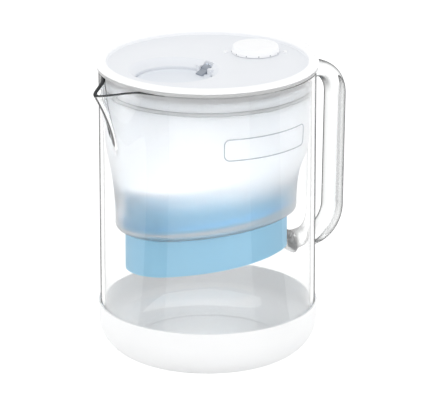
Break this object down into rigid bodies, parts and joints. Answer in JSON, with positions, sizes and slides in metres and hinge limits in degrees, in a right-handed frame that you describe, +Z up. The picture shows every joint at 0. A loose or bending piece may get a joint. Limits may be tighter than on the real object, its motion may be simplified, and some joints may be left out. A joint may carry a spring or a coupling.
{
  "type": "water filter pitcher",
  "caption": "Glass gravity filter jug with a pulled spout, frosted hopper, oval filter cartridge, white lid with a flip-up fill flap, and a reminder dial",
  "frame": {"origin": "centre of the flat face under the boot, on the jug's own axis", "axes": "+Z up along the jug's axis, +X towards the handle, -X towards the spout, +Y completes the right-handed frame"},
  "size_m": [0.1996, 0.143, 0.1989],
  "materials": {
    "clear_glass": "clear polished borosilicate glass",
    "white_boot": "satin white silicone",
    "frosted_plastic": "frosted translucent plastic",
    "seal_silicone": "translucent silicone",
    "blue_plastic": "satin light blue plastic",
    "white_plastic": "satin white plastic",
    "felt": "white non-woven felt",
    "carbon": "black carbon granules",
    "resin": "amber resin beads",
    "steel": "stainless steel"
  },
  "bodies": {
    "jug": {"glass_jug": "clear_glass", "glass_handle": "clear_glass", "base_boot": "white_boot"},
    "hopper": {"hopper": "frosted_plastic", "hopper_seal": "seal_silicone"},
    "cartridge": {"cartridge_cup": "blue_plastic", "cartridge_gasket": "seal_silicone", "cartridge_cap": "blue_plastic", "inlet_mesh": "steel", "inlet_felt": "felt", "carbon_bed": "carbon", "resin_bed": "resin", "outlet_felt": "felt"},
    "lid": {"lid_top": "white_plastic", "lid_skirt": "white_plastic", "lid_seal": "seal_silicone", "hinge_pin": "steel"},
    "flap": {"flap": "white_plastic", "flap_gasket": "seal_silicone"},
    "dial": {"dial_knob": "white_plastic", "dial_drag_ring": "seal_silicone", "dial_washer": "steel", "dial_screw": "steel"}
  },
  "joints": [
    {"name": "hopper_lift", "type": "slide", "parent": "jug", "child": "hopper", "axis": [0, 0, 1], "range_m": [0, 0.14]},
    {"name": "cartridge_pull", "type": "slide", "parent": "hopper", "child": "cartridge", "axis": [0, 0, 1], "range_m": [0, 0.038]},
    {"name": "lid_lift", "type": "slide", "parent": "hopper", "child": "lid", "axis": [0, 0, 1], "range_m": [0, 0.06]},
    {"name": "flap_hinge", "type": "hinge", "parent": "lid", "child": "flap", "pos_m": [-0.0001, 0, 0.1893], "axis": [0, 1, 0], "range_deg": [0, 100]},
    {"name": "dial_turn", "type": "hinge", "parent": "lid", "child": "dial", "pos_m": [0.039, 0, 0.1937], "axis": [0, 0, 1], "continuous": true}
  ]
}
